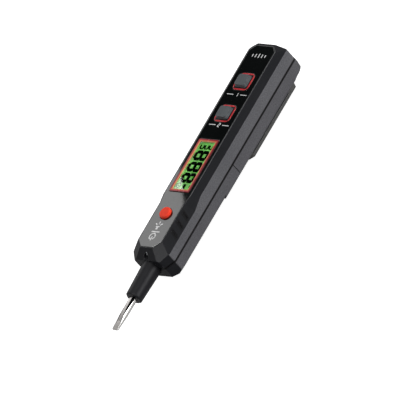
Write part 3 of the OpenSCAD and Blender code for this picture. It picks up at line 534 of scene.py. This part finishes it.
# Marks printed on the panel in white: a torch symbol and a power symbol with a bar between them,
# plain numbers 1 and 2 between short bars at the keys, and a plain row of bars at the tail.
print_z, print_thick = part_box("face_panel")[1].z + 0.000005, 0.00003
print_white = moulded("print_white", (0.7, 0.71, 0.71), (0.78, 0.78, 0.78), (0.5, 0.5, 0.5), (0.45, 0.6),
                      pit=0.000001)
stroke = 0.0007
marks = [printed_bar(0.0301, 0.0001, print_z, 0.0054, stroke, print_thick, 90)]
torch_y, power_y, number_y = -0.0004, -0.0002, 0.0004
marks.append(printed_bar(0.0281, torch_y, print_z, 0.0016, 0.0013, print_thick, 0, 0.1))
marks.append(printed_bar(0.0271, torch_y, print_z, 0.0008, 0.0024, print_thick * 1.3, 0, 0.1))
for turn in (-55, 0, 55):
    way = Vector((-math.cos(math.radians(turn)), math.sin(math.radians(turn)))) * 0.002
    marks.append(printed_bar(0.0269 + way.x, torch_y + way.y, print_z, 0.0017, stroke, print_thick, 180 - turn))
marks += ring(0.0328, power_y, print_z, 0.0017, stroke, print_thick, 1, 11)
marks.append(printed_bar(0.034, power_y, print_z, 0.0026, stroke, print_thick))
for across, lit in ((-0.0507, "bc"), (-0.0328, "abged")):
    marks += figure(across, number_y, print_z, Vector((-1, 0)), 0.002, 0.0012, 0.00042, print_thick, lit)
    for side in (-1, 1):
        marks.append(printed_bar(across, number_y + side * 0.0044, print_z, 0.0044, 0.0004, print_thick, 90))
for step in range(-2, 3):
    long = 0.0026 - abs(step) * 0.0005
    marks.append(printed_bar(-0.0735, step * 0.0021, print_z, long, 0.00055, print_thick))
lay_flat(gather(marks), "printed_marks", "case", print_white)


# Thumb ribs: six low ribs moulded across the back of the battery cover, past the end of the clip.
# They give the thumb a hold when the cover is slid off, and are of the same plastic as the cover.
rib_first, rib_pitch, rib_z = -0.0274, 0.0015, 0.00295
ribs = []
for step in range(6):
    ribs.append(printed_bar(rib_first + step * rib_pitch, 0, rib_z, 0.012, 0.0007, 0.0004, 90, 0.6))
lay_flat(gather(ribs), "cover_ribs", "cover", bpy.data.materials["case_rear"])


# Spigot: a thin plate moulded on the end wall of the rear half, that stands into the cover.
# It closes the line of sight through the joint and guides the cover as it slides home.
bpy.ops.object.select_all(action="DESELECT")
bpy.ops.mesh.primitive_cube_add(size=1, location=(-0.01822, 0, 0.0086))
spigot = bpy.context.object
spigot.scale = (0.00115, 0.021, 0.0077)
bpy.ops.object.transform_apply(location=True, rotation=True, scale=True)
spigot_middle, foot_share = 0.006, 0.78
for corner in spigot.data.vertices:
    if corner.co.z < spigot_middle:
        corner.co.y *= foot_share
lay_flat(spigot, "cover_spigot", "case", bpy.data.materials["case_rear"])


# Keys: two red rings let into the panel round two grey rubber-coated keys with dished tops,
# and one round torch button in bright red. Each presses its own switch.
ring_stuff = moulded("ring_red", (0.5, 0.012, 0.022), (0.66, 0.03, 0.035), (0.8, 0.22, 0.2), (0.18, 0.28),
                     edge=0.0003, pit=0.000004, gloss=0.3)
tree = ring_stuff.node_tree
skin = tree.nodes["Principled BSDF"]
where = put(tree, "TexCoord")
upper_low, upper_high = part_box("upper_key")
lower_low, lower_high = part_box("lower_key")
ways = []
for key_mid in ((upper_low + upper_high) / 2, (lower_low + lower_high) / 2):
    shift = put(tree, "VectorMath", {0: where.outputs["Object"], 1: key_mid}, operation="SUBTRACT")
    sides = put(tree, "VectorMath", {0: shift.outputs[0]}, operation="ABSOLUTE")
    reach = put(tree, "VectorMath", {0: sides.outputs[0], 1: (0.0034, 0.0037, 0)}, operation="SUBTRACT")
    apart = put(tree, "SeparateXYZ", {0: reach.outputs[0]})
    farther = put(tree, "Math", {0: apart.outputs["X"], 1: apart.outputs["Y"]}, operation="MAXIMUM")
    ways.append(farther.outputs[0])
near = put(tree, "Math", {0: ways[0], 1: ways[1]}, operation="MINIMUM")
gap_shade = spread(tree, near.outputs[0], 0.00075, 0.0006)
ring_tone = skin.inputs["Base Color"].links[0].from_socket
tree.links.new(blend_colour(tree, gap_shade, ring_tone, (0.012, 0.003, 0.004, 1)), skin.inputs["Base Color"])
finish(ring_stuff, "key_frames")
finish(moulded("key_rubber", (0.05, 0.06, 0.066), (0.068, 0.077, 0.083), (0.14, 0.15, 0.16), (0.5, 0.6),
               edge=0.0004, pit=0.000012, fineness=2200, gloss=0.3), "upper_key", "lower_key")
finish(moulded("button_red", (0.84, 0.045, 0.018), (0.9, 0.06, 0.025), (0.92, 0.2, 0.12), (0.55, 0.66),
               edge=0.0005, pit=0.000008, fineness=2000, gloss=0.12), "torch_button")
finish(moulded("plunger_black", (0.012, 0.012, 0.012), (0.022, 0.022, 0.022), (0.06, 0.06, 0.06),
               (0.35, 0.5)), "upper_key_plunger", "lower_key_plunger", "torch_plunger")


# Metal parts: plated probe blade, switch cans, stamped contact plates, wound springs and screws.
# The blade is ground along its flats and polished by use; the rest is drawn or stamped sheet. On the blade, the
# flats are painted darker and a black line is painted along it, both as painted reflections.
def plated(name, low, high, dull, rough, lines, line_deep, edge=0.00012):
    """Bright metal: fine drawn or ground lines along X, faint tarnish, duller scuffs."""
    stuff = bpy.data.materials.new(name)
    stuff.use_nodes = True
    tree = stuff.node_tree
    skin = tree.nodes["Principled BSDF"]
    skin.inputs["Metallic"].default_value = 1
    corner = group_in(tree, soft_edge, Radius=edge)
    pattern = group_in(tree, grain, Fineness=1500, Drift=220)
    where = put(tree, "TexCoord")
    drawn = put(tree, "Mapping", {"Vector": where.outputs["Object"], "Scale": (0.03, 1, 1)})
    scored = put(tree, "TexNoise", {"Vector": drawn.outputs[0], "Scale": lines, "Detail": 3})
    tone = blend_colour(tree, pattern.outputs["Tone"], (*low, 1), (*high, 1))
    tone = blend_colour(tree, spread(tree, pattern.outputs["Smear"], 0.5, 1, 0, 0.5), tone, (*dull, 1))
    tree.links.new(tone, skin.inputs["Base Color"])
    tree.links.new(spread(tree, scored.outputs[0], 0.3, 0.7, rough[0], rough[1]), skin.inputs["Roughness"])
    bump = put(tree, "Bump", {"Height": scored.outputs[0], "Normal": corner.outputs["Normal"],
                              "Strength": 1, "Distance": line_deep})
    tree.links.new(bump.outputs[0], skin.inputs["Normal"])
    return stuff


root_x, dark_line_end_x, line_y = 0.0626, 0.0774, 0.00125
blade_stuff = plated("blade_chrome", (0.66, 0.65, 0.63), (0.74, 0.73, 0.72), (0.5, 0.48, 0.46),
                     (0.14, 0.26), 5200, 0.000003)
tree = blade_stuff.node_tree
skin = tree.nodes["Principled BSDF"]
where = put(tree, "TexCoord")
side = put(tree, "SeparateXYZ", {0: where.outputs["Object"]})
facing = put(tree, "SeparateXYZ", {0: where.outputs["Normal"]})
upward = put(tree, "Math", {0: facing.outputs["Z"]}, operation="ABSOLUTE")
# Painted reflection: the flats are painted darker, more so towards the tip, standing in for the darker
# surroundings they mirror
ground = spread(tree, upward.outputs[0], 0.72, 0.9)
toward_tip = spread(tree, side.outputs["X"], root_x, 0.079)
flat_painted_reflection = blend_colour(tree, toward_tip, (0.44, 0.42, 0.41, 1), (0.17, 0.164, 0.158, 1))
tone = blend_colour(tree, ground, skin.inputs["Base Color"].links[0].from_socket, flat_painted_reflection)
# Painted reflection: a black line near the middle of the blade, narrowing and ending before the tip, stands in
# for a dark reflection and is no mark in the steel
beside = put(tree, "Math", {0: side.outputs["Y"]}, operation="ABSOLUTE")
off = put(tree, "Math", {0: beside.outputs[0], 1: line_y}, operation="SUBTRACT")
off = put(tree, "Math", {0: off.outputs[0]}, operation="ABSOLUTE")
half_wide = spread(tree, side.outputs["X"], root_x, dark_line_end_x, 0.00058, 0.00012)
painted_dark_line = put(tree, "Math", {0: off.outputs[0], 1: half_wide}, operation="LESS_THAN")
ends = spread(tree, side.outputs["X"], dark_line_end_x + 0.0001, dark_line_end_x - 0.0001)
painted_dark_line = put(tree, "Math", {0: painted_dark_line.outputs[0], 1: ends}, operation="MULTIPLY")
tone = blend_colour(tree, painted_dark_line.outputs[0], tone, (0.002, 0.002, 0.002, 1))
tree.links.new(tone, skin.inputs["Base Color"])
finish(blade_stuff, "probe_blade")
finish(plated("switch_can", (0.5, 0.5, 0.52), (0.6, 0.6, 0.61), (0.4, 0.4, 0.41),
              (0.28, 0.4), 3000, 0.000004), "tact_switches")
finish(plated("contact_nickel", (0.6, 0.59, 0.56), (0.7, 0.69, 0.66), (0.45, 0.43, 0.4),
              (0.2, 0.34), 3600, 0.000004), "tail_contact", "inner_contacts", "battery_springs", "case_screws")
finish(plated("spring_brass", (0.72, 0.5, 0.2), (0.8, 0.6, 0.3), (0.45, 0.28, 0.12),
              (0.22, 0.36), 3600, 0.000004), "probe_contact", "sense_plate")


# Probe sleeve: a turned-looking tube of black nylon, moulded on the blade and held in the nose.
# It is satin, with a slight sheen along its length.
finish(moulded("sleeve_nylon", (0.005, 0.005, 0.0065), (0.008, 0.008, 0.01), (0.03, 0.03, 0.034),
               (0.36, 0.46), edge=0.0005, pit=0.000006, fineness=1800, gloss=0.12), "probe_sleeve")


# Torch lamp: a clear resin lamp with a domed end, pushed into its bore from inside.
# The resin is cast round the lamp's wires and is smooth all over.
lamp_resin = moulded("lamp_resin", (0.8, 0.83, 0.86), (0.88, 0.9, 0.92), (0.95, 0.95, 0.95), (0.04, 0.1),
                     pit=0.000001)
lamp_resin.node_tree.nodes["Principled BSDF"].inputs["Transmission Weight"].default_value = 0.85
finish(lamp_resin, "torch_led")


# Board and what sits on it: glass fibre sheet with green solder mask over etched copper tracks,
# a black moulded chip and buzzer, and tan fired ceramic parts. The battery tray is black ABS.
board_stuff = moulded("solder_mask", (0.012, 0.12, 0.035), (0.02, 0.17, 0.05), (0.2, 0.3, 0.12), (0.25, 0.4),
                      pit=0.000004)
tree = board_stuff.node_tree
skin = tree.nodes["Principled BSDF"]
where = put(tree, "TexCoord")
tracks = put(tree, "TexBrick", {"Vector": where.outputs["Object"], "Scale": 260, "Mortar Size": 0.03,
                                "Color1": (0, 0, 0, 1), "Color2": (0, 0, 0, 1), "Mortar": (1, 1, 1, 1)})
mask_tone = skin.inputs["Base Color"].links[0].from_socket
tracked = blend_colour(tree, tracks.outputs["Color"], mask_tone, (0.05, 0.3, 0.09, 1))
tree.links.new(tracked, skin.inputs["Base Color"])
finish(board_stuff, "circuit_board")
finish(moulded("chip_resin", (0.014, 0.014, 0.015), (0.022, 0.022, 0.023), (0.06, 0.06, 0.06), (0.5, 0.65)),
       "controller_chip", "buzzer")
finish(moulded("ceramic_tan", (0.26, 0.19, 0.11), (0.36, 0.27, 0.17), (0.55, 0.5, 0.42), (0.35, 0.5)),
       "small_components")
finish(moulded("tray_black", (0.016, 0.016, 0.017), (0.026, 0.026, 0.027), (0.08, 0.08, 0.08), (0.5, 0.62)),
       "battery_tray")


# Power cells: drawn steel cans with a nub at one end, in a plain blue-grey metallic foil sleeve
# without any print. Can and sleeve share one material.
finish(plated("cell_sleeve", (0.24, 0.27, 0.3), (0.32, 0.35, 0.38), (0.2, 0.22, 0.24),
              (0.28, 0.4), 2600, 0.000004), "cell_left", "cell_right")
